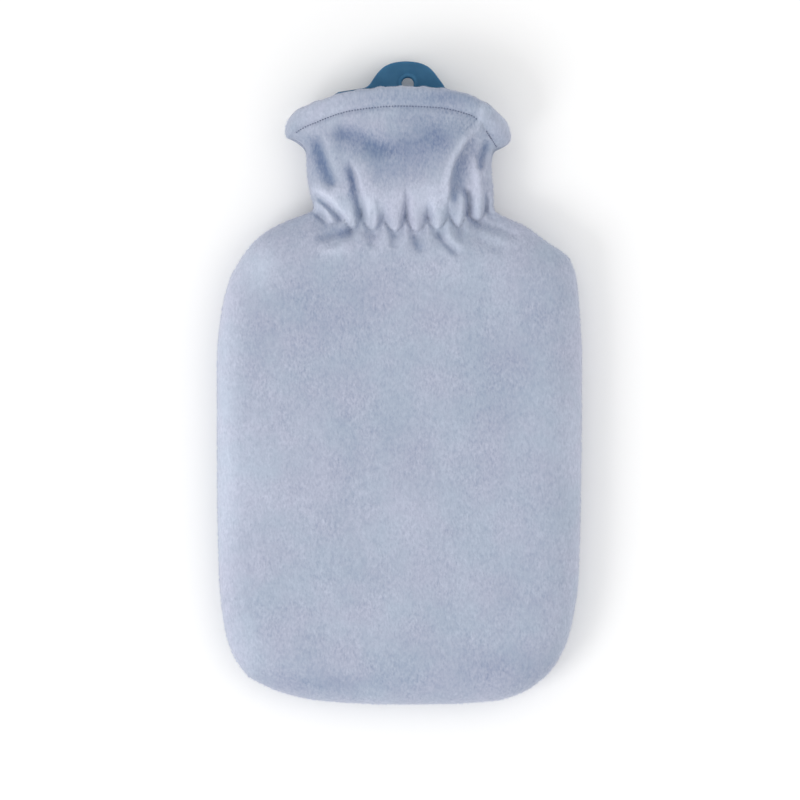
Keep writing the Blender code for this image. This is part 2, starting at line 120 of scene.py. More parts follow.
# Thickness: height, seam, front face, back face, reach of the rounded edge.
DEPTH_ROWS = (
    (-180.0, 16.0, 36.0, 0.0, 26.0),
    (40.0, 16.0, 36.0, 0.0, 26.0),
    (62.0, 16.6, 36.4, 0.0, 30.0),
    (80.0, 18.0, 38.2, 2.2, 44.0),
    (90.0, 18.6, 39.2, 3.4, 50.0),
    (104.0, 19.6, 41.5, 3.6, 50.0),
    (122.0, 20.6, 43.5, 2.4, 51.0),
    (142.0, 21.6, 43.2, 1.4, 60.0),
)
SEAM, FACE, UNDERSIDE, REACH = 1, 2, 3, 4
BACK_REACH = 0.7  # the back's edge rounds over in this share of the front's reach
BACK_REST_END = 62.0  # the back lies flat up to here, and its folds come in over the next stretch
BACK_RISE = 14.0

# Gathers of the front along the drawn-in line: place across, height, which way the cloth swells
# (1 is the tip of a tuck above the line, -1 is a pucker below it), how proud, and how far it runs.
FRONT_GATHERS = (
    (-50.0, 96.0, -1, 0.6, 8.0),
    (-37.0, 87.8, 1, 1.7, 7.0),
    (-31.0, 90.6, -1, 1.3, 7.0),
    (-25.8, 85.2, 1, 2.5, 9.0),
    (-20.6, 89.3, -1, 2.2, 10.0),
    (-14.4, 84.2, 1, 2.3, 12.0),
    (-8.6, 89.2, -1, 2.4, 7.0),
    (-1.9, 83.6, 1, 2.8, 10.0),
    (3.8, 89.6, -1, 2.7, 13.0),
    (9.6, 83.5, 1, 2.7, 9.5),
    (15.7, 89.0, -1, 2.4, 7.5),
    (21.4, 84.6, 1, 2.6, 10.0),
    (27.3, 92.0, -1, 2.2, 9.0),
    (32.8, 86.0, 1, 1.7, 8.0),
    (37.0, 93.0, -1, 2.3, 9.0),
    (44.1, 89.6, 1, 2.0, 8.0),
    (48.0, 95.2, -1, 1.6, 7.0),
    (52.6, 93.5, 1, 0.9, 6.0),
)
BACK_GATHERS = tuple(
    (place, 89.0 - 2.6 * way + 0.6 * math.sin(place), way, 0.9, 10.0)
    for place, way in zip(np.arange(-48.0, 52.0, 6.2), (1, -1) * 9)
)
ACROSS, HEIGHT, WAY, PROUD, RUN = range(5)
DRAW_IN = 3.0  # how far the elastic draws the cloth in, and how far that reaches
DRAW_REACH = 8.0
PINCH = 0.9  # the narrow groove along the elastic
PINCH_REACH = 1.1
BELOW_LINE = 0.5  # the puckers under the line, as a share of the tucks above it
LOBED = 0.65  # how far the tucks are rounded lobes with narrow puckers between them
NOSE = 2.4  # a tuck rises to its full height within this
TUCK_FADE, PUCKER_FADE = 1.6, 1.4  # how firmly each ends
PUCKER_RUN = 0.6  # length of a pucker as a share of its tuck
OVERHANG = 0.7  # the tips of the tucks hang over the line, and the notches lean back less
OVERHANG_AT = 1.6
OVERHANG_REACH = 1.8
NOTCH_LEAN = 0.6
SEAM_CALM = 5.0  # the folds come in over this distance from the seams

# Main creases of the front. Route: start, middle and end, walked so that left and right are the two
# sides. Then how far the crease reaches to its left and right, its height (a trough is negative) and
# how far its crest leans to the right.
FRONT_CREASES = (
    ((-33.0, 106.0), (-41.5, 119.0), (-47.5, 140.0), 4.6, 3.6, -3.4, 0.0),
    ((-33.0, 111.0), (-37.0, 124.0), (-41.0, 140.0), 2.6, 4.6, 1.6, 0.0),
    ((-37.0, 141.5), (-22.0, 138.0), (0.0, 125.5), 4.5, 7.5, -2.5, 0.0),
    ((-15.0, 86.0), (-17.5, 106.0), (-27.5, 128.0), 2.0, 9.0, 2.2, -0.6),
    ((-20.8, 88.5), (-22.5, 103.0), (-28.0, 124.0), 2.6, 2.1, -3.2, 0.0),
    ((-26.0, 85.5), (-32.5, 102.0), (-50.0, 109.5), 1.9, 4.6, 2.6, -0.7),
    ((-30.5, 88.0), (-36.5, 97.5), (-48.0, 104.0), 1.7, 1.5, -2.0, 0.0),
    ((-36.8, 87.5), (-38.5, 97.0), (-49.0, 101.5), 1.8, 1.8, 2.0, -0.4),
    ((-39.5, 89.0), (-43.0, 94.0), (-50.5, 96.5), 2.2, 1.6, -1.6, 0.0),
    ((-15.8, 84.5), (-15.6, 90.0), (-13.5, 97.0), 1.4, 1.4, -1.0, 0.0),
    ((-8.6, 88.0), (-11.5, 94.0), (-12.5, 104.0), 1.6, 1.8, -0.9, 0.0),
    ((3.6, 88.0), (3.4, 97.0), (6.0, 107.0), 1.8, 1.8, -1.3, 0.0),
    ((15.9, 88.5), (16.3, 94.0), (18.0, 101.0), 1.8, 1.8, -1.1, 0.0),
    ((22.0, 86.0), (29.5, 96.0), (27.0, 108.0), 3.0, 1.8, 1.0, 0.0),
    ((27.0, 96.0), (21.5, 123.5), (46.5, 144.0), 12.0, 1.3, 3.0, 1.3),
    ((30.0, 98.0), (31.0, 117.0), (41.0, 139.0), 2.6, 5.2, -2.7, 0.0),
    ((32.5, 86.5), (38.8, 97.0), (32.0, 110.0), 3.0, 1.5, 2.2, 0.5),
    ((37.2, 90.5), (40.2, 98.5), (36.0, 109.0), 1.4, 2.2, -3.2, 0.0),
    ((44.0, 90.0), (48.2, 104.0), (40.5, 129.0), 3.4, 2.0, 2.4, 0.5),
    ((44.5, 116.0), (44.5, 126.0), (50.5, 135.5), 1.8, 2.2, -2.4, 0.0),
    ((47.5, 112.0), (47.5, 121.0), (54.5, 131.0), 1.6, 3.0, 1.6, 0.0),
    ((42.0, 134.0), (44.5, 146.5), (49.0, 157.5), 1.6, 3.0, 1.9, 0.0),
    ((46.6, 93.0), (49.4, 99.0), (48.2, 106.5), 1.3, 1.5, -2.0, 0.0),
    ((-24.0, 86.5), (-31.0, 83.5), (-48.0, 79.5), 3.0, 2.6, -2.2, 0.0),
    ((-21.5, 86.0), (-26.5, 74.5), (-47.0, 70.5), 4.0, 2.4, 1.7, 0.4),
    ((-8.5, 87.0), (-2.5, 72.0), (-19.0, 72.0), 2.6, 2.6, 1.1, 0.0),
    ((-13.5, 83.5), (-14.5, 79.0), (-16.5, 75.0), 1.9, 2.1, -0.7, 0.0),
    ((-2.2, 83.5), (-3.2, 79.0), (-4.0, 74.0), 2.0, 2.2, -0.6, 0.0),
    ((8.6, 83.0), (9.6, 78.0), (13.0, 71.0), 2.0, 2.6, -1.3, 0.0),
    ((21.6, 84.5), (22.5, 78.0), (35.0, 69.5), 2.2, 1.8, -2.0, 0.0),
    ((27.0, 90.5), (25.0, 82.0), (38.0, 73.0), 2.4, 2.2, 1.1, 0.0),
    ((35.5, 91.5), (47.5, 88.5), (69.0, 80.0), 1.9, 3.2, -1.9, 0.0),
    ((31.0, 84.5), (42.0, 80.5), (62.0, 72.0), 3.6, 3.6, -1.1, 0.0),
)
BACK_CREASES = (
    ((-25.0, 96.0), (-26.0, 122.0), (-30.0, 141.0), 5.0, 3.0, -1.8, 0.0),
    ((25.0, 96.0), (24.0, 120.0), (30.0, 139.0), 3.0, 6.0, -1.6, 0.0),
    ((2.0, 94.0), (0.0, 112.0), (-6.0, 132.0), 5.0, 5.0, 1.2, 0.0),
)
CREASE_STEPS = 48
CREASE_END = 0.22  # the share of a crease over which it fades at each end
CREASE_FAR = 2.6  # a crease does nothing past this many times its reach
LEAN_AT, LEAN_REACH = 0.5, 1.7  # where beside its crest a crease leans most, and how widely

# The hem: how deep it is from the mouth to its stitching, across the cover.
HEM_ROWS = (
    (-62.0, 12.4),
    (-48.0, 11.6),
    (-32.0, 11.0),
    (38.0, 11.0),
    (44.0, 12.3),
    (49.0, 16.2),
    (54.0, 20.0),
    (61.5, 23.5),
)
HEM_PUFF = 1.3  # how proud the turned cloth stands
HEM_PAST, HEM_BLEND = 0.6, 1.6  # the double cloth runs this far past its stitching, then thins
HEM_WAVE = 0.25  # unevenness of the mouth edge, and how far down it is felt
HEM_WAVE_REACH = 2.5
HEM_ROLL = 2.0  # the folded edge rounds over within this
STITCH_GROOVE = 1.0  # depth of the groove along the stitching
GROOVE_REACH = 1.0
STITCH_PITCH = 1.62
STITCH_LENGTH = 0.9
STITCH_WIDE = 0.72
STITCH_LIFT = 0.14
STITCH_ENDS = ((-58.5, 44.0), (47.5, 54.5))  # the line is hidden where a fold crosses it

# How finely the cloth is modelled: lines across, lines up each side, rings in from the edge.
FRONT_FINE = (126, 205)
BACK_FINE = (60, 100)
FRONT_RINGS = 22
BACK_RINGS = 14
RING_REACH = 18.0
BODY_SPACING = 0.45  # lines are this sparse along the body, against the neck
NECK_FINE, CORNER_FINE, FINE_RUN = 50.0, -105.0, 25.0
BOTTOM_BOW_FADE = 60.0  # the grid's lines lose the bottom edge's bow over this height
OUTLINE_STEP = 0.5
OUTLINE_EASING = 6
DIRECTION_SPAN = 6  # points to each side that give the outline's direction
NORMAL_EASING = 260
DISTANCE_BATCH = 2000
ON_SEAM, ON_LIP, ON_FACE = range(3)

# ---------------------------------------------------------------- the rubber bottle (mm)
BODY_X = 0.0  # middle of the body, and of the neck, which stands a little to the right
BOTTLE_X = 3.7
BODY_TOP = 54.0
THROAT = 91.0
RUBBER = 2.4  # thickness of the wall
# Height, half width, half thickness, middle, squareness, slant.
BOTTLE_ROWS = (
    (-171.5, 54.0, 6.5, 17.0, 2.6, 0.0),
    (-169.0, 63.5, 9.3, 17.2, 3.0, 0.0),
    (-163.0, 72.0, 12.0, 17.8, 3.2, 0.0),
    (-152.0, 82.0, 14.2, 18.1, 3.6, 0.0),
    (-135.0, 88.5, 15.2, 18.3, 4.0, 0.0),
    (-100.0, 92.0, 15.4, 18.4, 4.2, 0.0),
    (0.0, 93.5, 15.4, 18.4, 4.2, 0.0),
    (38.0, 90.5, 15.2, 18.4, 4.0, 0.0),
    (54.0, 83.5, 14.6, 18.4, 3.6, 0.0),
    (66.0, 70.0, 13.8, 18.6, 3.2, 0.0),
    (74.0, 53.0, 12.8, 18.9, 2.8, 0.0),
    (80.0, 36.0, 11.6, 19.2, 2.4, 0.0),
    (85.0, 24.0, 10.8, 19.6, 2.1, 0.0),
    (91.0, 18.0, 10.6, 20.0, 2.0, 0.0),
    (100.0, 17.5, 10.8, 20.4, 2.0, 0.0),
    (110.0, 21.0, 11.4, 20.8, 2.1, 0.0),
    (123.0, 29.0, 12.2, 21.2, 2.4, 1.0),
    (138.0, 36.5, 12.8, 21.8, 2.6, 2.5),
    (154.0, 41.5, 13.4, 22.2, 2.8, 4.0),
)
BOTTLE_SIDES = 96
BOTTLE_RINGS = 70
RING_SHIFT = 0.08  # draws the rings together half way up

# Hanging tab: offset from its middle, height of its top edge.
TAB_ROWS = (
    (-40.0, 159.8),
    (-36.8, 161.5),
    (-29.5, 162.9),
    (-23.5, 163.5),
    (-21.0, 164.8),
    (-18.0, 169.0),
    (-15.5, 172.3),
    (-11.7, 175.7),
    (-6.0, 177.8),
    (0.0, 178.4),
    (6.0, 177.8),
    (11.7, 175.7),
    (15.5, 172.3),
    (18.0, 169.0),
    (20.4, 165.7),
    (22.5, 162.6),
    (26.0, 160.2),
    (30.0, 159.4),
)
TAB_FOOT = 157.5  # it runs down into the funnel's wall
HOLE = (4.6, 165.9)
TAB_SIDES = 260
# Section of the tab: radius near the hole, distance in from the edge, share of the way out, height.
TAB_SECTION = (
    (3.3, 0.0, 0.0, 1.9),
    (3.5, 0.0, 0.0, 2.4),
    (4.0, 0.0, 0.0, 2.7),
    (4.8, 0.0, 0.0, 2.65),
    (5.3, 0.0, 0.0, 2.2),
    (5.5, 0.0, 0.0, 1.4),
    (5.9, 0.0, 0.0, 1.25),
    (6.6, 0.0, 0.0, 1.5),
    (6.6, 0.0, 0.3, 1.5),
    (6.6, 0.0, 0.6, 1.5),
    (6.6, 1.1, 1.0, 1.5),
    (6.6, 0.6, 1.0, 1.42),
    (6.6, 0.2, 1.0, 1.15),
    (6.6, 0.0, 1.0, 0.7),
)

# ---------------------------------------------------------------- the pile
PAINTED_SHADE_ON_FOLDS = 0.11  # painted light and shade: lighter on crests and darker in troughs
PAINTED_LIGHT_ON_SLOPES = (0.34, 0.16)  # painted light and shade: lighter where the cloth rises to the right and upward, facing the key light from the left and below, darker where it faces away
SLOPE_STEP = 0.6
# Patches of lighter or darker tone, partly where the pile lies another way and partly painted light and
# shade, such as the lit left edge and folds in shade: place, half width, half height, and how light it
# looks.
FRONT_NAP_AND_SHADE_PATCHES = (
    (-98.0, 20.0, 8.0, 90.0, 0.48),
    (-98.0, -90.0, 8.0, 70.0, 0.42),
    (98.0, -40.0, 6.0, 110.0, 0.25),
    (-78.0, 64.0, 13.0, 14.0, 0.5),
    (-76.0, 28.0, 10.0, 20.0, -0.2),
    (-72.0, -20.0, 24.0, 60.0, 0.08),
    (-50.0, 30.0, 26.0, 40.0, -0.1),
    (-60.0, -95.0, 30.0, 30.0, 0.06),
    (-88.0, -150.0, 10.0, 16.0, 0.3),
    (-42.0, -167.0, 26.0, 6.0, -0.3),
    (-16.0, -162.0, 44.0, 14.0, -0.2),
    (24.0, -72.0, 26.0, 18.0, 0.06),
    (-5.0, 60.0, 40.0, 9.0, 0.04),
    (56.0, 80.0, 12.0, 5.0, 0.2),
    (66.0, -158.0, 34.0, 12.0, -0.26),
    (-4.0, 99.0, 32.0, 8.0, 0.28),
    (-40.0, 106.0, 12.0, 6.0, 0.25),
    (-29.0, 138.0, 9.0, 5.0, -0.42),
    (-8.0, 130.0, 20.0, 8.0, -0.5),
    (22.0, 134.0, 17.0, 12.0, -0.85),
    (4.0, 117.0, 26.0, 7.0, -0.38),
    (-20.0, 147.0, 14.0, 4.0, 0.1),
    (6.0, 147.0, 14.0, 4.0, -0.2),
    (31.0, 101.0, 2.6, 6.0, -0.5),
    (42.0, 113.0, 3.5, 14.0, 0.3),
    (-48.0, 150.0, 16.0, 9.0, 0.25),
    (18.0, 158.0, 26.0, 5.0, -0.4),
    (47.0, 148.0, 3.0, 9.0, 0.25),
    (56.0, 143.0, 8.0, 8.0, 0.1),
    (-6.0, 77.0, 26.0, 4.0, 0.12),
    (11.4, 76.3, 4.0, 3.0, -0.45),
    (-30.5, 82.4, 4.5, 3.2, -0.5),
    (36.0, 129.0, 3.5, 6.0, 0.45),
    (17.0, 98.5, 5.0, 3.5, 0.3),
    (-27.5, 104.0, 2.2, 4.0, -0.35),
    (-36.0, 107.0, 3.0, 5.0, 0.25),
    (0.0, 129.0, 7.0, 5.0, -0.15),
    (28.0, 158.0, 10.0, 5.0, -0.2),
)
# Strokes of painted light and shade: highlights along fold crests and painted shade in troughs,
# recesses and along the hem's stitching. They are laid out like the creases, with a tone in place of a
# height.
FRONT_PAINTED_LIGHT_STROKES = (
    ((28.5, 97.0), (21.5, 123.0), (44.5, 142.5), 2.6, 1.3, 0.5, 0.0),
    ((33.0, 101.0), (33.0, 116.0), (40.0, 134.0), 2.6, 5.0, -0.16, 0.0),
    ((-35.0, 106.0), (-42.0, 119.0), (-46.5, 139.0), 4.4, 4.4, -0.4, 0.0),
    ((-24.0, 94.0), (-25.0, 108.0), (-28.0, 124.0), 3.0, 2.4, -0.2, 0.0),
    ((-28.0, 88.0), (-33.5, 101.0), (-50.0, 108.0), 1.4, 2.4, 0.3, 0.0),
    ((-47.0, 78.0), (-40.0, 70.0), (-22.0, 73.0), 3.0, 3.0, 0.2, 0.0),
    ((45.0, 116.0), (45.5, 126.0), (51.0, 136.0), 1.8, 2.2, -0.35, 0.0),
    ((50.0, 112.0), (50.5, 122.0), (55.0, 131.0), 1.2, 1.6, 0.25, 0.0),
    ((-55.0, 139.0), (-30.0, 151.5), (-6.0, 151.5), 1.6, 1.4, -0.25, 0.0),
    ((-10.0, 151.5), (22.0, 154.0), (43.0, 146.0), 1.6, 1.4, -0.2, 0.0),
)
BACK_PATCHES = (
    (-60.0, 0.0, 30.0, 50.0, 0.2),
    (40.0, -90.0, 40.0, 40.0, -0.15),
)
# Colours for the tone: the dark end is painted shade in the troughs, the middle is the cloth's own
# colour, and the light end is painted light on lit crests.
NAP_AND_PAINTED_LIGHT_COLOURS = (
    (0.0, (0.150, 0.203, 0.330)),
    (0.5, (0.382, 0.422, 0.525)),
    (1.0, (0.600, 0.640, 0.770)),
)
HUES = (
    (0.36, (0.974, 1.006, 1.0)),
    (0.5, (1.0, 1.0, 1.0)),
    (0.64, (1.022, 0.995, 1.002)),
)

# Loose pile standing out along the seams and the mouth.
FRINGE_PER_MM = 9
FRINGE_SHORT = 0.4
FRINGE_AT_SEAM, FRINGE_AT_MOUTH = 1.3, 0.9  # the longest ends of each
FRINGE_WIDE = 0.16
FRINGE_SPREAD = 0.55
SEAM_BAND = 1.1  # its roots reach this far above and below the seam
MOUTH_BAND = (1.2, 0.1)  # and this far into the mouth, and out of it
ROOT_DEPTH = 0.15
# The loose pile is painted lighter than the cloth, a painted sheen on the fuzzy edges.
FRINGE_PAINTED_SHEEN = 0.85
FRINGE_SEED = 7

# Lights: name, place, size, power, colour (metres and watts).
LIGHTS = (
    ("left", (-1.05, -0.7, 1.15), 0.7, 8.2, (1.0, 1.0, 1.0)),
    ("right", (1.1, 0.1, 1.4), 1.5, 3.2, (1.0, 0.995, 0.99)),
)
SKY = 0.88
FLOOR_SIZE = 2.5

# ---------------------------------------------------------------- camera
LENS = 900.0  # long, so that it looks on nearly square
SENSOR = 36.0
VIEW_WIDTH = 444.0  # how much the picture spans at the height of the seam
VIEW_X, VIEW_Y = 0.3, -9.7
SEAM_LEVEL = 16.0


# ---------------------------------------------------------------- curves through the tables
def along(rows, column, at):
    """One column of a table at some places, on a smooth curve that never overshoots its rows."""
    ordered = sorted(rows, key=lambda row: row[0])
    places = np.array([row[0] for row in ordered])
    values = np.array([row[column] for row in ordered])
    steps = np.diff(places)
    slopes = np.diff(values) / steps
    turns = np.zeros(len(places))
    same_way = slopes[:-1] * slopes[1:] > 0
    before, after = 2 * steps[1:] + steps[:-1], steps[1:] + 2 * steps[:-1]
    with np.errstate(divide="ignore", invalid="ignore"):
        blended = (before + after) / (before / slopes[:-1] + after / slopes[1:])
    turns[1:-1] = np.where(same_way, blended, 0.0)
    turns[0], turns[-1] = slopes[0], slopes[-1]
    at = np.clip(np.asarray(at, float), places[0], places[-1])
    left = np.clip(np.searchsorted(places, at, side="right") - 1, 0, len(steps) - 1)
    step = steps[left]
    t = (at - places[left]) / step
    return (
        (1 + 2 * t) * (1 - t) ** 2 * values[left]
        + t * (1 - t) ** 2 * step * turns[left]
        + t * t * (3 - 2 * t) * values[left + 1]
        + t * t * (t - 1) * step * turns[left + 1]
    )


def ease(t):
    """0 below 0 and 1 above 1, with a soft start and end."""
    t = np.clip(t, 0.0, 1.0)
    return t * t * (3 - 2 * t)


def side_line(column):
    """One side of the outline as dense points, from the mouth's corner down to the bottom's."""
    heights = np.arange(MOUTH, EDGE_ROWS[-1][0] - 0.01, -OUTLINE_STEP)
    return np.column_stack([along(EDGE_ROWS, column, heights), heights])


def bottom_line():
    """The bottom edge as dense points, from left to right."""
    across = np.arange(BOTTOM_ROWS[0][0], BOTTOM_ROWS[-1][0] + 0.01, OUTLINE_STEP)
    return np.column_stack([across, along(BOTTOM_ROWS, 1, across)])


def softened(line):
    """The same points with their corners eased, the two ends held."""
    for _ in range(OUTLINE_EASING):
        line[1:-1] = (line[:-2] + 2 * line[1:-1] + line[2:]) / 4
    return line


def outline_line():
    """The whole open outline: down the left side, along the bottom and up the right side."""
    return softened(
        np.vstack([side_line(LEFT), bottom_line()[1:], side_line(RIGHT)[::-1][1:]])
    )


def inward_normals(line):
    """Unit vectors that point into the panel, softened so that corners fan out evenly."""
    ahead = np.roll(line, -DIRECTION_SPAN, axis=0) - np.roll(line, DIRECTION_SPAN, axis=0)
    for end in range(DIRECTION_SPAN):
        ahead[end] = line[end + 1] - line[end]
        ahead[-1 - end] = line[-1 - end] - line[-2 - end]
    normals = np.column_stack([-ahead[:, 1], ahead[:, 0]])
    normals /= np.linalg.norm(normals, axis=1)[:, None]
    normals[0], normals[-1] = (1.0, 0.0), (-1.0, 0.0)
    for _ in range(NORMAL_EASING):
        normals[1:-1] = (normals[:-2] + 2 * normals[1:-1] + normals[2:]) / 4
    level = ease((line[:, 1] - COLLAR_START) / COLLAR_LEVEL)[:, None]
    sideways = np.column_stack([-np.sign(line[:, 0]), np.zeros(len(line))])
    normals = (1 - level) * normals + level * sideways
    return normals / np.linalg.norm(normals, axis=1)[:, None]


def edge_distance(points, line):
    """Distance from each point to the outline."""
    starts, ends = line[:-1:2], np.vstack([line[2::2], line[-1:]])[: len(line[:-1:2])]
    runs = ends - starts
    lengths = (runs * runs).sum(1)
    nearest = np.empty(len(points))
    for first in range(0, len(points), DISTANCE_BATCH):
        batch = points[first : first + DISTANCE_BATCH, None, :]
        share = ((batch - starts) * runs).sum(2) / lengths
        foot = starts + np.clip(share, 0, 1)[..., None] * runs
        nearest[first : first + DISTANCE_BATCH] = np.sqrt(((batch - foot) ** 2).sum(2).min(1))
    return nearest


def evenly(line, normals, first, last, count):
    """Places along the outline: even half way in, and closer together at the neck and corners."""
    middle = line[first : last + 1] + normals[first : last + 1] * RING_REACH / 2
    length = np.linalg.norm(np.diff(middle, axis=0), axis=1)
    height = (middle[1:, 1] + middle[:-1, 1]) / 2
    closer = ease((height - NECK_FINE) / FINE_RUN) + 0.5 * ease((CORNER_FINE - height) / FINE_RUN)
    weight = length * (BODY_SPACING + (1 - BODY_SPACING) * closer)
    travelled = np.concatenate([[0.0], np.cumsum(weight)])
    wanted = np.linspace(0, travelled[-1], count + 1)
    return np.interp(wanted, travelled, np.arange(first, last + 1))


def between(values, places):
    """Rows of an array at fractional places."""
    low = np.clip(np.floor(places).astype(int), 0, len(values) - 2)
    share = (places - low)[:, None]
    return (1 - share) * values[low] + share * values[low + 1]


# ---------------------------------------------------------------- shape of the cloth
def crease_field(x, y, creases):
    """What the main creases do: how far they raise the cloth, and how far they lean it."""
    rise, lean_x, lean_y = np.zeros(len(x)), np.zeros(len(x)), np.zeros(len(x))
    t = np.linspace(0, 1, CREASE_STEPS)
    strength = ease(t / CREASE_END) * ease((1 - t) / CREASE_END)
    t = t[:, None]
    for start, middle, end, to_left, to_right, height, lean in creases:
        start, middle, end = np.array(start), np.array(middle), np.array(end)
        route = (1 - t) ** 2 * start + 2 * t * (1 - t) * middle + t * t * end
        ahead = np.gradient(route, axis=0)
        ahead /= np.linalg.norm(ahead, axis=1)[:, None]
        reach = CREASE_FAR * max(to_left, to_right)
        low, high = route.min(0) - reach, route.max(0) + reach
        near = np.flatnonzero((x > low[0]) & (x < high[0]) & (y > low[1]) & (y < high[1]))
        if not len(near):
            continue
        away = np.column_stack([x[near], y[near]])[:, None, :] - route
        square = (away**2).sum(2)
        closest = square.argmin(1)
        away = away[np.arange(len(near)), closest]
        way = ahead[closest]
        right = away[:, 0] * way[:, 1] - away[:, 1] * way[:, 0]
        far = np.sqrt(square[np.arange(len(near)), closest])
        profile = np.exp(-((far / np.where(right > 0, to_right, to_left)) ** 2))
        rise[near] += height * strength[closest] * profile
        if lean:
            edge = np.copysign(far, right) * math.copysign(1.0, lean)
            push = lean * strength[closest] * np.exp(-(((edge + LEAN_AT) / LEAN_REACH) ** 2))
            lean_x[near] += push * way[:, 1]
            lean_y[near] -= push * way[:, 0]
    return rise, lean_x, lean_y


def gather_field(x, y, rows):
    """What the gathers do: the drawn-in line, the swell of the tucks, and their overhang."""
    places = np.array([row[ACROSS] for row in rows])
    left = np.clip(np.searchsorted(places, x) - 1, 0, len(rows) - 2)
    share = np.clip((x - places[left]) / (places[left + 1] - places[left]), 0, 1)
    from_tip = np.array([row[WAY] for row in rows])[left] > 0
    lobe = np.where(from_tip, 1 - np.cos(share * math.pi / 2), np.sin(share * math.pi / 2))
    share = LOBED * lobe + (1 - LOBED) * ease(share)

    def blend(column):
        values = np.array([row[column] for row in rows], float)
        return (1 - share) * values[left] + share * values[left + 1]

    above = y - blend(HEIGHT)
    swell = blend(WAY) * blend(PROUD)
    up, down = np.maximum(above, 0), np.maximum(-above, 0)
    run = blend(RUN)
    drawn = -DRAW_IN * np.exp(-((above / DRAW_REACH) ** 2))
    rise = -PINCH * np.exp(-((above / PINCH_REACH) ** 2))
    rise += swell * ease(up / NOSE) * np.exp(-((up / run) ** TUCK_FADE)) * (up > 0)
    pucker = ease(down / NOSE) * np.exp(-((down / (PUCKER_RUN * run)) ** PUCKER_FADE))
    rise -= BELOW_LINE * swell * pucker * (down > 0)
    tip, notch = np.maximum(blend(WAY), 0), np.maximum(-blend(WAY), 0)
    lean = -OVERHANG * tip * np.exp(-(((above - OVERHANG_AT) / OVERHANG_REACH) ** 2))
    lean += NOTCH_LEAN * OVERHANG * notch * np.exp(-(((above + OVERHANG_AT) / OVERHANG_REACH) ** 2))
    return drawn, rise, lean


def fold_slopes(x, y, gathers, creases):
    """How steeply the gathers and creases rise across the cover, and along it."""
    slopes = []
    for along_x, along_y in ((SLOPE_STEP, 0.0), (0.0, SLOPE_STEP)):
        ahead, behind = (
            gather_field(x + way * along_x, y + way * along_y, gathers)[1]
            + crease_field(x + way * along_x, y + way * along_y, creases)[0]
            for way in (0.5, -0.5)
        )
        slopes.append((ahead - behind) / SLOPE_STEP)
    return slopes


def soft_hollows(x, y):
    """Wide shallow unevenness of the filled body."""
    return (
        0.35 * np.sin(x / 31.0 + 1.1) * np.sin(y / 43.0 + 0.4)
        + 0.22 * np.sin(x / 17.0 - y / 29.0 + 2.0)
        + 0.15 * np.sin(x / 11.0 + y / 13.0)
    )


def hem_shape(below_mouth, depth):
    """Height that the turned hem adds: a rounded edge, a soft roll, and the groove of its stitching."""
    share = np.clip(below_mouth / depth, 0, 1)
    puff = HEM_PUFF * np.sin(math.pi * share) ** 0.6
    over = np.clip(1 - below_mouth / HEM_ROLL, 0, 1)
    roll = -HEM_ROLL * (1 - np.sqrt(1 - 0.96 * over**2))
    groove = -STITCH_GROOVE * np.exp(-(((below_mouth - depth) / GROOVE_REACH) ** 2))
    return puff + roll + groove


def mouth_wave(x):
    """The small unevenness of the mouth's edge."""
    return np.sin(x / 1.9 + 0.7) + 0.8 * np.sin(x / 1.13 + 2.0) * np.sin(x / 6.1)


def cloth_point(x, flat_y, inset, side):
    """Where a point of a flat panel lies on its outer face, and how the folds raise it there."""
    to_mouth = along(MOUTH_ROWS, side, x) - MOUTH
    y = flat_y + to_mouth * ease((flat_y - BOW_START) / (MOUTH - BOW_START))
    below_mouth = along(MOUTH_ROWS, side, x) - y
    seam = along(DEPTH_ROWS, SEAM, flat_y)
    reach = along(DEPTH_ROWS, REACH, flat_y)
    calm = ease(inset / SEAM_CALM)
    hem = hem_shape(below_mouth, along(HEM_ROWS, 1, x))
    y = y + HEM_WAVE * mouth_wave(x) * np.exp(-np.maximum(below_mouth, 0) / HEM_WAVE_REACH) * calm
    if side == FRONT:
        t = 1 - np.clip(inset / reach, 0, 1)
        start = seam + GAP / 2 + LIP
        height = start + (along(DEPTH_ROWS, FACE, flat_y) - start) * np.sqrt(1 - t * t)
        height += CROWN * ease(inset / CROWN_SPREAD)
        drawn, rise, lean = gather_field(x, y, FRONT_GATHERS)
        crease, lean_x, lean_y = crease_field(x, y, FRONT_CREASES)
        folds = calm * (rise + crease)
        height += folds + calm * drawn + soft_hollows(x, y) * ease(inset / 30.0) + calm * hem
        return x + calm * lean_x, y + calm * (lean + lean_y), height, folds, below_mouth
    t = 1 - np.clip(inset / (reach * BACK_REACH), 0, 1)
    start = seam - GAP / 2 - LIP
    height = start + (along(DEPTH_ROWS, UNDERSIDE, flat_y) - start) * np.sqrt(1 - t * t)
    drawn, rise, lean = gather_field(x, y, BACK_GATHERS)
    crease, lean_x, lean_y = crease_field(x, y, BACK_CREASES)
    away = calm * ease((flat_y - BACK_REST_END) / BACK_RISE)
    folds = away * (rise + crease)
    height -= folds + away * (0.5 * drawn + 0.6 * hem)
    return x, y + away * lean * 0.5, np.maximum(height, 0.0), folds, below_mouth


# ---------------------------------------------------------------- building the panels
def drawn_on(bm, ring, closed=True):
    """The next ring of vertices, extruded from the last one and in the same order."""
    following = ring[1:] + ring[:1] if closed else ring[1:]
    edges = [bm.edges.get(pair) for pair in zip(ring, following)]
    drawn = bmesh.ops.extrude_edge_only(bm, edges=edges)["geom"]
    fresh = {g for g in drawn if isinstance(g, bmesh.types.BMVert)}
    return [next(e.other_vert(v) for e in v.link_edges if e.other_vert(v) in fresh) for v in ring]


def finished(bm, name):
    """The bmesh as a mesh."""
    mesh = bpy.data.meshes.new(name)
    bm.to_mesh(mesh)
    bm.free()
    return mesh


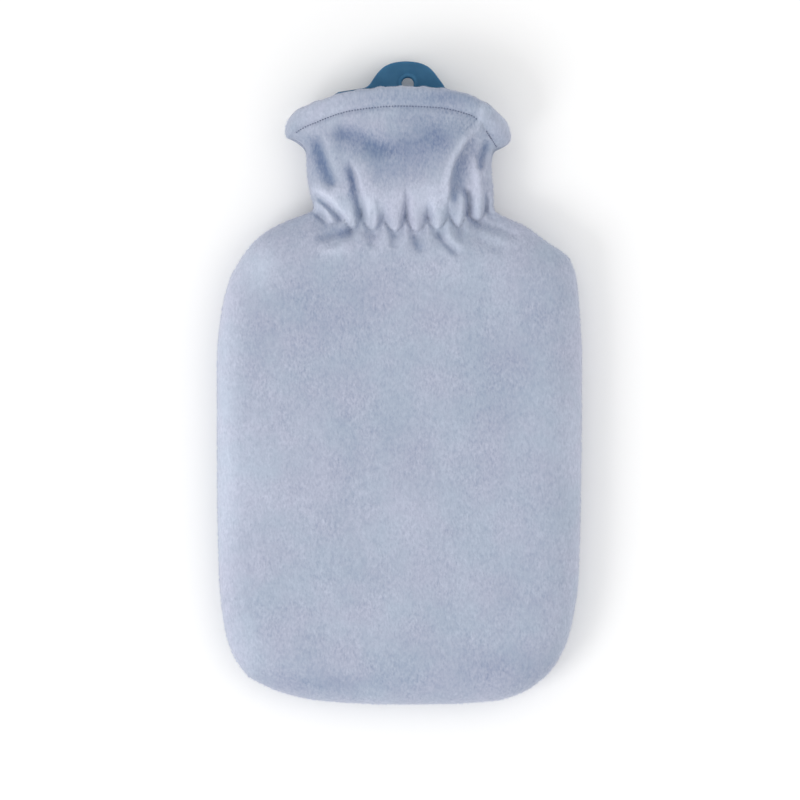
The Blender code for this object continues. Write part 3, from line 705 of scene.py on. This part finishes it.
def panel_grid(bm, columns, rows, inner):
    """The grid in a panel's middle: each vertex with its place laid flat, and its rim as a ring."""
    bmesh.ops.create_grid(bm, x_segments=columns, y_segments=rows, size=1.0)
    verts = list(bm.verts)
    column = np.array([round((vert.co.x + 1) / 2 * columns) for vert in verts])
    row = np.array([round((1 - vert.co.y) / 2 * rows) for vert in verts])
    grid = {(c, r): vert for c, r, vert in zip(column, row, verts)}
    left_ends = inner[: rows + 1]
    right_ends = inner[::-1][: rows + 1]
    bottom_ends = inner[rows : rows + columns + 1]
    share = np.linspace(0, 1, columns + 1)[:, None]
    bow = bottom_ends - ((1 - share) * bottom_ends[0] + share * bottom_ends[-1])
    fade = ease(1 - (left_ends[:, 1] - bottom_ends[0][1]) / BOTTOM_BOW_FADE)
    places = (1 - share[column]) * left_ends[row] + share[column] * right_ends[row]
    places = places + fade[row][:, None] * bow[column]
    flat = dict(zip(verts, places))
    ring = [grid[0, r] for r in range(rows + 1)]
    ring += [grid[c, rows] for c in range(1, columns + 1)]
    ring += [grid[columns, r] for r in range(rows - 1, -1, -1)]
    flat.update(zip(ring, inner))
    return flat, ring


def panel_surface(name, fine, rings, side):
    """A panel's outer face: a grid in the middle, and rings drawn out from it to the edge."""
    columns, rows = fine
    line = outline_line()
    normals = inward_normals(line)
    corner = len(side_line(LEFT)) - 1
    far_corner = corner + len(bottom_line()) - 1
    down = evenly(line, normals, 0, corner, rows)
    along_bottom = evenly(line, normals, corner, far_corner, columns)
    up = evenly(line, normals, far_corner, len(line) - 1, rows)
    anchors = np.concatenate([down, along_bottom[1:], up[1:]])
    edge = between(line, anchors)
    inwards = between(normals, anchors)

    bm = bmesh.new()
    flat, ring = panel_grid(bm, columns, rows, edge + inwards * RING_REACH)
    level = dict.fromkeys(flat, ON_FACE)
    turns = np.linspace(math.pi / 2, 0, rings + 1)[1:]
    steps = [(RING_REACH * (1 - math.cos(turn)), ON_FACE) for turn in turns[:-1]]
    for depth, stage in steps + [(0.0, ON_LIP), (0.0, ON_SEAM)]:
        ring = drawn_on(bm, ring, closed=False)
        flat.update(zip(ring, edge + inwards * depth))
        level.update(dict.fromkeys(ring, stage))

    verts = list(bm.verts)
    points = np.array([flat[vert] for vert in verts])
    stage = np.array([level[vert] for vert in verts])
    inset = np.where(stage < ON_FACE, 0.0, edge_distance(points, line))
    x, flat_y = points[:, 0], points[:, 1]
    seam = along(DEPTH_ROWS, SEAM, flat_y)
    out_x, out_y, z, folds, below_mouth = cloth_point(x, flat_y, inset, side)
    z = np.where(stage == ON_SEAM, seam + GAP / 2 if side == FRONT else seam - GAP / 2, z)
    for vert, place in zip(verts, np.column_stack([out_x, out_y, z]) * MM):
        vert.co = place
    bmesh.ops.recalc_face_normals(bm, faces=bm.faces)
    bm.normal_update()
    facing_up = sum(face.normal.z * face.calc_area() for face in bm.faces) > 0
    if facing_up != (side == FRONT):
        bmesh.ops.reverse_faces(bm, faces=bm.faces)
    return finished(bm, name), out_x, out_y, folds, below_mouth


def add_piece(name, mesh, material):
    """One finished piece in the scene."""
    made = bpy.data.objects.new(name, mesh)
    made.data.materials.append(material)
    bpy.context.scene.collection.objects.link(made)
    mesh.shade_smooth()
    return made


def store(mesh, name, values):
    """Keeps one number per vertex for the materials."""
    layer = mesh.attributes.new(name, "FLOAT", "POINT")
    layer.data.foreach_set("value", np.asarray(values, np.float32))


def tone_with_painted_light(x, y, folds, slopes, patches, painted_light_strokes):
    """Tone of the pile, with painted light and shade: lighter on the folds' crests and lit sides,
    darker in their troughs, plus patches and painted strokes.
    """
    nap_and_painted_light = PAINTED_SHADE_ON_FOLDS * folds
    for share, slope in zip(PAINTED_LIGHT_ON_SLOPES, slopes):
        nap_and_painted_light += share * np.tanh(slope)
    for across, height, half_wide, half_high, tone in patches:
        nap_and_painted_light += tone * np.exp(-(((x - across) / half_wide) ** 2) - ((y - height) / half_high) ** 2)
    nap_and_painted_light += crease_field(x, y, painted_light_strokes)[0]
    return np.clip(nap_and_painted_light, -1.0, 1.0)


def make_panel(name, fine, rings, side, gathers, creases, patches, painted_light_strokes, velour):
    """A panel of velour, with its cloth's thickness, double at the hem."""
    mesh, x, y, folds, below_mouth = panel_surface(name, fine, rings, side)
    depth = along(HEM_ROWS, 1, x)
    slopes = fold_slopes(x, y, gathers, creases)
    # The stored tone paints light and shade onto the folds and slopes, as well as the pile's own tone.
    store(mesh, "nap_and_painted_light", tone_with_painted_light(x, y, folds, slopes, patches, painted_light_strokes))
    panel = add_piece(name, mesh, velour)
    group = panel.vertex_groups.new(name="hem")
    for index, weight in enumerate(ease((depth + HEM_PAST - below_mouth) / HEM_BLEND)):
        group.add([index], float(weight), "REPLACE")
    solid = panel.modifiers.new("cloth thickness", "SOLIDIFY")
    solid.thickness = HEM_CLOTH * MM
    solid.offset = -1.0
    solid.vertex_group = "hem"
    solid.thickness_vertex_group = CLOTH / HEM_CLOTH
    return panel


def face_tree(mesh):
    """The cloth's face, ready to be asked where it lies."""
    return BVHTree.FromPolygons(
        [vert.co for vert in mesh.vertices], [list(face.vertices) for face in mesh.polygons]
    )


def hem_line(tree, side, first, last):
    """Points of the hem's stitch line on a panel's outer face, evenly along it."""
    x = np.linspace(first, last, 400)
    y = along(MOUTH_ROWS, side, x) - along(HEM_ROWS, 1, x)
    way = -1.0 if side == FRONT else 1.0
    points = []
    for place in np.column_stack([x, y]) * MM:
        found = tree.ray_cast(Vector((*place, -way)), Vector((0.0, 0.0, way)))[0]
        if found is not None:
            points.append(found)
    points = np.array(points) / MM
    travelled = np.concatenate([[0.0], np.cumsum(np.linalg.norm(np.diff(points, axis=0), axis=1))])
    stops = np.arange(STITCH_PITCH / 2, travelled[-1], STITCH_PITCH)
    return np.column_stack([np.interp(stops, travelled, points[:, axis]) for axis in range(3)])


def make_stitches(front, back, thread):
    """The small sunk stitches that hold the hem, on the front and on the back."""
    bm = bmesh.new()
    for mesh, side, lift in ((front, FRONT, STITCH_LIFT), (back, BACK, -STITCH_LIFT)):
        tree = face_tree(mesh)
        for first, last in STITCH_ENDS:
            points = hem_line(tree, side, first, last)
            for before, here, after in zip(points[:-2], points[1:-1], points[2:]):
                way = Vector(after - before).normalized()
                place = Vector((here[0], here[1], here[2] + lift)) * MM
                turn = way.to_track_quat("X", "Z").to_matrix().to_4x4()
                half = (STITCH_LENGTH / 2 * MM, STITCH_WIDE / 2 * MM, STITCH_WIDE / 2 * MM, 1.0)
                matrix = Matrix.Translation(place) @ turn @ Matrix.Diagonal(half)
                bmesh.ops.create_uvsphere(bm, u_segments=8, v_segments=5, radius=1.0, matrix=matrix)
    return add_piece("hem_stitching", finished(bm, "hem_stitching"), thread)


def make_fringe(velour):
    """Loose ends of pile along the seams and the mouth, each a fine tapered point."""
    chance = np.random.default_rng(FRINGE_SEED)
    roots, ways, lengths = [], [], []

    def plant(line, outwards, low, high, longest):
        """Roots at random along a line of points, within a band of heights."""
        travelled = np.concatenate([[0.0], np.cumsum(np.linalg.norm(np.diff(line, axis=0), axis=1))])
        count = int(travelled[-1] * FRINGE_PER_MM)
        places = np.interp(chance.uniform(0, travelled[-1], count), travelled, np.arange(len(line)))
        root = between(line, places)
        root[:, 2] += chance.uniform(low, high, count)
        way = between(outwards, places) + chance.normal(0.0, FRINGE_SPREAD, (count, 3))
        roots.append(root)
        ways.append(way / np.linalg.norm(way, axis=1)[:, None])
        lengths.append(chance.uniform(FRINGE_SHORT, longest, count))

    line = outline_line()
    out = -inward_normals(line)
    seam = along(DEPTH_ROWS, SEAM, line[:, 1])
    to_mouth = along(MOUTH_ROWS, FRONT, line[:, 0]) - MOUTH
    y = line[:, 1] + to_mouth * ease((line[:, 1] - BOW_START) / (MOUTH - BOW_START))
    flat = np.zeros(len(line))
    around = np.column_stack([line[:, 0], y, seam])
    plant(around, np.column_stack([out, flat]), -SEAM_BAND, SEAM_BAND, FRINGE_AT_SEAM)
    x = np.linspace(EDGE_ROWS[0][LEFT] + 1, EDGE_ROWS[0][RIGHT] - 1, 200)
    mouth = np.full(len(x), MOUTH)
    inset = edge_distance(np.column_stack([x, mouth]), line)
    up = np.tile((0.0, 1.0, 0.0), (len(x), 1))
    within, beyond = MOUTH_BAND
    for side, low, high in ((FRONT, -within, beyond), (BACK, -beyond, within)):
        px, py, pz, _, _ = cloth_point(x, mouth, inset, side)
        plant(np.column_stack([px, py - ROOT_DEPTH, pz]), up, low, high, FRINGE_AT_MOUTH)

    root, way = np.vstack(roots), np.vstack(ways)
    count = len(root)
    length = np.concatenate(lengths)[:, None]
    aside = np.cross(way, chance.normal(0.0, 1.0, (count, 3)))
    aside /= np.linalg.norm(aside, axis=1)[:, None]
    across = np.cross(way, aside)
    corners = [
        root + FRINGE_WIDE / 2 * (math.cos(turn) * aside + math.sin(turn) * across)
        for turn in (0.0, 2 * math.pi / 3, 4 * math.pi / 3)
    ]
    points = np.stack([*corners, root + way * length], axis=1).reshape(-1, 3) * MM
    faces = np.array([(0, 2, 1), (0, 1, 3), (1, 2, 3), (2, 0, 3)])
    faces = (faces[None] + 4 * np.arange(count)[:, None, None]).reshape(-1, 3)
    mesh = bpy.data.meshes.new("pile_fringe")
    mesh.from_pydata(points.tolist(), [], faces.tolist())
    # The loose pile gets a light tone, a painted sheen.
    store(mesh, "nap_and_painted_light", np.full(4 * count, FRINGE_PAINTED_SHEEN))
    fringe = add_piece("pile_fringe", mesh, velour)
    mesh.shade_flat()
    return fringe


# ---------------------------------------------------------------- materials
def socket(shader, name, value):
    """Sets one input of a shader."""
    shader.inputs[name].default_value = value


def new_material(name):
    """A new material with its nodes, its links and its shader."""
    made = bpy.data.materials.new(name)
    made.use_nodes = True
    nodes, links = made.node_tree.nodes, made.node_tree.links
    return made, nodes, links, nodes["Principled BSDF"]


def noise_node(nodes, links, place, scale, detail, roughness=0.5, stretch=(1, 1, 1), turn=0.0):
    """A noise on the piece's own coordinates, stretched and turned."""
    mapping = nodes.new("ShaderNodeMapping")
    mapping.inputs["Scale"].default_value = stretch
    mapping.inputs["Rotation"].default_value = (0.0, 0.0, turn)
    links.new(place.outputs["Object"], mapping.inputs["Vector"])
    made = nodes.new("ShaderNodeTexNoise")
    made.inputs["Scale"].default_value = scale
    made.inputs["Detail"].default_value = detail
    made.inputs["Roughness"].default_value = roughness
    links.new(mapping.outputs["Vector"], made.inputs["Vector"])
    return made


def math_node(nodes, links, operation, first, second):
    """An operation on two values, each a number or another node's output."""
    made = nodes.new("ShaderNodeMath")
    made.operation = operation
    for number, value in enumerate((first, second)):
        if isinstance(value, float):
            made.inputs[number].default_value = value
        else:
            links.new(value, made.inputs[number])
    return made.outputs["Value"]


def colour_ramp(nodes, links, value, stops):
    """Colours picked from a row of stops by a value."""
    made = nodes.new("ShaderNodeValToRGB")
    elements = made.color_ramp.elements
    while len(elements) < len(stops):
        elements.new(0.5)
    for element, (position, colour) in zip(elements, stops):
        element.position = position
        element.color = (*colour, 1.0)
    links.new(value, made.inputs["Fac"])
    return made.outputs["Color"]


def velour_material():
    """Brushed velour: a fine grain of pile, soft patches where the pile lies another way, painted light
    and shade carried by the stored tone, and sheen.
    """
    made, nodes, links, shader = new_material("velour")
    place = nodes.new("ShaderNodeTexCoord")
    # The stored tone brings painted light and shade from the folds, slopes, patches and strokes, as
    # well as the pile's own tone.
    nap_and_painted_light = nodes.new("ShaderNodeAttribute")
    nap_and_painted_light.attribute_name = "nap_and_painted_light"
    strands = noise_node(nodes, links, place, 900.0, 3.0, 0.65, (1.0, 0.5, 0.75), 0.35)
    tufts = noise_node(nodes, links, place, 330.0, 3.0, 0.6, (1.0, 0.6, 1.0), -0.3)
    patches = noise_node(nodes, links, place, 24.0, 4.0, 0.6, (1.0, 0.7, 1.0), 0.4)
    rough = noise_node(nodes, links, place, 70.0, 2.0, 0.5)
    roughness = math_node(nodes, links, "MULTIPLY", rough.outputs["Fac"], 2.0)
    tone = math_node(nodes, links, "MULTIPLY", nap_and_painted_light.outputs["Fac"], 0.5)
    for texture, amount in ((strands, 0.6), (tufts, 0.27), (patches, 0.34)):
        centred = math_node(nodes, links, "SUBTRACT", texture.outputs["Fac"], 0.5)
        share = math_node(nodes, links, "MULTIPLY", centred, amount)
        if texture is strands:
            share = math_node(nodes, links, "MULTIPLY", share, roughness)
        tone = math_node(nodes, links, "ADD", tone, share)
    tone = math_node(nodes, links, "ADD", tone, 0.5)
    colour = colour_ramp(nodes, links, tone, NAP_AND_PAINTED_LIGHT_COLOURS)
    hue = noise_node(nodes, links, place, 34.0, 3.0, 0.6)
    tinted = nodes.new("ShaderNodeMix")
    tinted.data_type = "RGBA"
    tinted.blend_type = "MULTIPLY"
    links.new(colour, tinted.inputs["A"])
    links.new(colour_ramp(nodes, links, hue.outputs["Fac"], HUES), tinted.inputs["B"])
    tinted.inputs["Factor"].default_value = 1.0
    links.new(tinted.outputs["Result"], shader.inputs["Base Color"])
    pile = math_node(nodes, links, "MULTIPLY", tufts.outputs["Fac"], 0.8)
    pile = math_node(nodes, links, "ADD", strands.outputs["Fac"], pile)
    bump = nodes.new("ShaderNodeBump")
    bump.inputs["Strength"].default_value = 0.7
    bump.inputs["Distance"].default_value = 0.0007
    links.new(pile, bump.inputs["Height"])
    links.new(bump.outputs["Normal"], shader.inputs["Normal"])
    socket(shader, "Roughness", 0.95)
    socket(shader, "Sheen Weight", 0.5)
    socket(shader, "Sheen Roughness", 0.4)
    socket(shader, "Sheen Tint", (0.88, 0.9, 1.0, 1))
    socket(shader, "Specular IOR Level", 0.12)
    return made


def thread_material():
    """Dark blue grey sewing thread, with its twist."""
    made, nodes, links, shader = new_material("thread")
    place = nodes.new("ShaderNodeTexCoord")
    twist = noise_node(nodes, links, place, 2600.0, 2.0)
    stops = ((0.3, (0.075, 0.092, 0.165)), (0.7, (0.135, 0.158, 0.255)))
    links.new(colour_ramp(nodes, links, twist.outputs["Fac"], stops), shader.inputs["Base Color"])
    socket(shader, "Roughness", 0.7)
    return made


def rubber_material():
    """Moulded blue rubber with a satin bloom."""
    made, nodes, links, shader = new_material("blue rubber")
    place = nodes.new("ShaderNodeTexCoord")
    bloom = noise_node(nodes, links, place, 120.0, 4.0)
    stops = ((0.35, (0.028, 0.132, 0.256)), (0.7, (0.040, 0.162, 0.302)))
    links.new(colour_ramp(nodes, links, bloom.outputs["Fac"], stops), shader.inputs["Base Color"])
    socket(shader, "Roughness", 0.5)
    socket(shader, "Specular IOR Level", 0.3)
    return made


def floor_material():
    """Plain pale floor."""
    made, _, _, shader = new_material("pale floor")
    socket(shader, "Base Color", (0.95, 0.95, 0.95, 1))
    socket(shader, "Roughness", 0.9)
    return made


# ---------------------------------------------------------------- the bottle
def bottle_point(height, angle):
    """A point of the bottle's outer face."""
    half_width = float(along(BOTTLE_ROWS, 1, height))
    half_thick = float(along(BOTTLE_ROWS, 2, height))
    middle = float(along(BOTTLE_ROWS, 3, height))
    power = 2 / float(along(BOTTLE_ROWS, 4, height))
    slant = float(along(BOTTLE_ROWS, 5, height))
    across = math.copysign(abs(math.cos(angle)) ** power, math.cos(angle))
    up = math.copysign(abs(math.sin(angle)) ** power, math.sin(angle))
    offset = BODY_X + (BOTTLE_X - BODY_X) * float(ease((height - BODY_TOP) / (THROAT - BODY_TOP)))
    return offset + half_width * across, height - slant * up, middle + half_thick * up


def make_bottle(rubber):
    """The bottle in one moulding, drawn ring by ring from its closed end to the funnel."""
    bm = bmesh.new()
    ring = list(
        bmesh.ops.create_circle(bm, cap_ends=True, segments=BOTTLE_SIDES, radius=1.0)["verts"]
    )
    angles = [math.atan2(vert.co.y, vert.co.x) for vert in ring]
    first, last = BOTTLE_ROWS[0][0], BOTTLE_ROWS[-1][0]
    for number in range(BOTTLE_RINGS + 1):
        share = number / BOTTLE_RINGS
        height = first + (last - first) * (share + RING_SHIFT * math.sin(2 * math.pi * share))
        if number:
            ring = drawn_on(bm, ring)
        for vert, angle in zip(ring, angles):
            vert.co = [value * MM for value in bottle_point(height, angle)]
    bmesh.ops.recalc_face_normals(bm, faces=bm.faces)
    bottle = add_piece("rubber_bottle", finished(bm, "rubber_bottle"), rubber)
    wall = bottle.modifiers.new("rubber wall", "SOLIDIFY")
    wall.thickness = RUBBER * MM
    wall.offset = -1.0
    return bottle


def tab_middle(offset):
    """Height of the tab's middle plane, which follows the back wall of the funnel's mouth."""
    _, half_width, half_thick, middle, squareness, _ = BOTTLE_ROWS[-1]
    share = np.clip(np.abs(offset) / half_width, 0, 1) ** squareness
    return middle - half_thick * (1 - share) ** (1 / squareness) + RUBBER / 2


def tab_reach(angle):
    """How far the tab's outline is from the middle of its hole, in one direction."""
    offsets = np.linspace(TAB_ROWS[-1][0], TAB_ROWS[0][0], 400)
    top = np.column_stack([BOTTLE_X + offsets, along(TAB_ROWS, 1, offsets)])
    foot = np.column_stack([BOTTLE_X + offsets[::-1], np.full(len(offsets), TAB_FOOT)])
    rim = np.vstack([top, foot]) - HOLE
    turns = np.arctan2(rim[:, 1], rim[:, 0])
    return np.interp(angle, *np.array(sorted(zip(turns, np.hypot(*rim.T)))).T, period=2 * math.pi)


def make_tab(rubber):
    """The hanging tab, drawn out ring by ring from its hole over its raised ring to its round edge."""
    bm = bmesh.new()
    ring = list(bmesh.ops.create_circle(bm, segments=TAB_SIDES, radius=1.0)["verts"])
    angles = np.array([math.atan2(vert.co.y, vert.co.x) for vert in ring])
    edge = tab_reach(angles)
    first = ring
    rows = TAB_SECTION + tuple((*row[:3], -row[3]) for row in reversed(TAB_SECTION))
    for number, (radius, inset, share, height) in enumerate(rows):
        if number:
            ring = drawn_on(bm, ring)
        out = (1 - share) * radius + share * np.maximum(edge - inset, radius)
        x, y = HOLE[0] + out * np.cos(angles), HOLE[1] + out * np.sin(angles)
        z = tab_middle(x - BOTTLE_X) + height
        for vert, place in zip(ring, np.column_stack([x, y, z]) * MM):
            vert.co = place
    loops = [bm.edges.get(pair) for r in (first, ring) for pair in zip(r, r[1:] + r[:1])]
    bmesh.ops.bridge_loops(bm, edges=loops)
    bmesh.ops.recalc_face_normals(bm, faces=bm.faces)
    return add_piece("rubber_tab", finished(bm, "rubber_tab"), rubber)


# ---------------------------------------------------------------- stage
def make_floor():
    """The plain floor that the cover lies on."""
    bm = bmesh.new()
    bmesh.ops.create_grid(bm, x_segments=1, y_segments=1, size=FLOOR_SIZE)
    floor = add_piece("floor", finished(bm, "floor"), floor_material())


def area_light(name, place, size, power, colour):
    """A square soft light that looks at the cover."""
    data = bpy.data.lights.new(name, "AREA")
    data.shape = "SQUARE"
    data.size = size
    data.energy = power
    data.color = colour
    light = bpy.data.objects.new(name, data)
    light.location = place
    aim = -light.location.normalized()
    light.rotation_mode = "QUATERNION"
    light.rotation_quaternion = aim.to_track_quat("-Z", "Y")
    bpy.context.scene.collection.objects.link(light)


def make_lights():
    """Soft studio light: two soft lights and an even white sky."""
    for light in LIGHTS:
        area_light(*light)
    world = bpy.data.worlds.new("studio")
    bpy.context.scene.world = world
    world.use_nodes = True
    sky = world.node_tree.nodes["Background"]
    socket(sky, "Color", (1, 1, 1, 1))
    socket(sky, "Strength", SKY)


def make_camera():
    """Looks straight down on the cover's front."""
    data = bpy.data.cameras.new("camera")
    data.lens = LENS
    data.sensor_width = SENSOR
    camera = bpy.data.objects.new("camera", data)
    height = SEAM_LEVEL + VIEW_WIDTH * LENS / SENSOR
    camera.location = (VIEW_X * MM, VIEW_Y * MM, height * MM)
    bpy.context.scene.collection.objects.link(camera)
    bpy.context.scene.camera = camera


def main():
    """Makes every piece, attaches each to the root body, hides the CAD parts it replaces, and sets the
    stage.
    """
    velour = velour_material()
    rubber = rubber_material()
    folds = (FRONT_GATHERS, FRONT_CREASES, FRONT_NAP_AND_SHADE_PATCHES, FRONT_PAINTED_LIGHT_STROKES)
    front = make_panel("velour_front", FRONT_FINE, FRONT_RINGS, FRONT, *folds, velour)
    folds = (BACK_GATHERS, BACK_CREASES, BACK_PATCHES, ())
    back = make_panel("velour_back", BACK_FINE, BACK_RINGS, BACK, *folds, velour)
    stitches = make_stitches(front.data, back.data, thread_material())
    fringe = make_fringe(velour)
    bottle = make_bottle(rubber)
    tab = make_tab(rubber)
    for piece, finish in (
        (front, "velour"),
        (back, "velour"),
        (stitches, "velour"),
        (fringe, "velour"),
        (bottle, "rubber"),
        (tab, "rubber"),
    ):
        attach(piece, "root")
    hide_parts("front_panel")
    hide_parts("back_panel")
    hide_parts("bottle")
    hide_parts("hanging_tab")
    make_floor()
    make_lights()
    make_camera()


main()
bpy.context.scene.view_settings.view_transform = "Standard"
